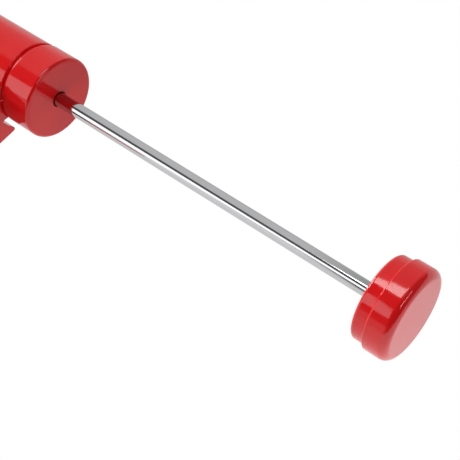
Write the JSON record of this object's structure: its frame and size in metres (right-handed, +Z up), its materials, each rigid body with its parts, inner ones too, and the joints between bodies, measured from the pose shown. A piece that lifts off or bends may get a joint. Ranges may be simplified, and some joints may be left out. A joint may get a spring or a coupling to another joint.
{
  "type": "caulking gun",
  "caption": "Closed-barrel caulking gun with a pistol grip, trigger, friction-plate drive, chrome plunger rod with a round red pull knob, and a screw-on nozzle ring.",
  "frame": {"origin": "on the floor under the middle of the gun's bounding box, with the gun lying on its right side", "axes": "+X runs back along the plunger rod from the nozzle to the pull knob, +Y is the top of the gun as it is held, with the handle towards -Y, and +Z is up, on the gun's left side"},
  "size_m": [0.7382, 0.181, 0.062],
  "materials": {
    "red_abs": "glossy moulded red plastic",
    "red_enamel": "glossy red baked enamel on steel",
    "chrome_rod": "polished chrome plate",
    "zinc_steel": "bright zinc plated steel",
    "spring_steel": "drawn spring wire, lightly oiled",
    "black_nylon": "fine textured black nylon",
    "black_rubber": "smooth nitrile rubber",
    "natural_nozzle": "natural translucent polyethylene"
  },
  "bodies": {
    "body": {"rear_cap": "red_abs", "rear_bush": "black_nylon", "body_shell_left": "red_abs", "body_shell_right": "red_abs", "shell_screw_1": "zinc_steel", "shell_screw_2": "zinc_steel", "shell_screw_3": "zinc_steel", "shell_screw_4": "zinc_steel", "trigger_pin": "zinc_steel", "rod_support": "zinc_steel", "barrel_collar": "zinc_steel", "barrel_tube": "red_enamel", "barrel_rivet_1": "zinc_steel", "barrel_rivet_2": "zinc_steel", "barrel_rivet_3": "zinc_steel", "drive_spring": "spring_steel", "release_spring": "spring_steel"},
    "piston": {"piston_plate_back": "zinc_steel", "piston_cup": "black_nylon", "piston_plate_front": "zinc_steel", "piston_nut_back": "zinc_steel", "piston_nut_front": "zinc_steel"},
    "rod": {"plunger_rod": "chrome_rod", "knob_base": "red_abs", "knob_cap": "red_abs", "knob_nut": "zinc_steel"},
    "trigger": {"trigger_arm": "zinc_steel", "trigger_blade": "red_abs", "trigger_rivet_1": "zinc_steel", "trigger_rivet_2": "zinc_steel"},
    "drive": {"drive_plate_1": "zinc_steel", "drive_plate_2": "zinc_steel"},
    "release": {"release_plate": "zinc_steel", "release_pad": "black_nylon"},
    "nozzle_set": {"nozzle": "natural_nozzle", "nozzle_seal": "black_rubber"},
    "ring": {"front_ring": "red_abs"}
  },
  "joints": [
    {"name": "plunger_slide", "type": "slide", "parent": "body", "child": "piston", "axis": [-1, 0, 0], "range_m": [0, 0.205]},
    {"name": "rod_spin", "type": "hinge", "parent": "piston", "child": "rod", "pos_m": [-0.0286, 0.0595, 0.031], "axis": [1, 0, 0], "continuous": true},
    {"name": "trigger_pull", "type": "hinge", "parent": "body", "child": "trigger", "pos_m": [0.0319, 0.0195, 0.031], "axis": [0, 0, 1], "range_deg": [0, 22], "stiffness_Nm_per_rad": 1.5, "springref_deg": -8.59},
    {"name": "drive_slide", "type": "slide", "parent": "body", "child": "drive", "axis": [-1, 0, 0], "range_m": [0, 0.0095], "deforming": ["drive_spring"]},
    {"name": "release_tilt", "type": "hinge", "parent": "body", "child": "release", "pos_m": [0.0599, 0.081, 0.031], "axis": [0, 0, -1], "range_deg": [0, 5], "stiffness_Nm_per_rad": 2, "springref_deg": -5.73, "deforming": ["release_spring"]},
    {"name": "front_slide", "type": "slide", "parent": "body", "child": "nozzle_set", "axis": [-1, 0, 0], "range_m": [0, 0.0092]},
    {"name": "ring_turn", "type": "hinge", "parent": "nozzle_set", "child": "ring", "pos_m": [-0.2591, 0.0595, 0.031], "axis": [-1, 0, 0], "range_deg": [0, 1080]}
  ],
  "couplings": [
    {"joint": "drive_slide", "follows": "trigger_pull", "m_per_rad": 0.0243},
    {"joint": "front_slide", "follows": "ring_turn", "m_per_rad": 0.00047746}
  ]
}
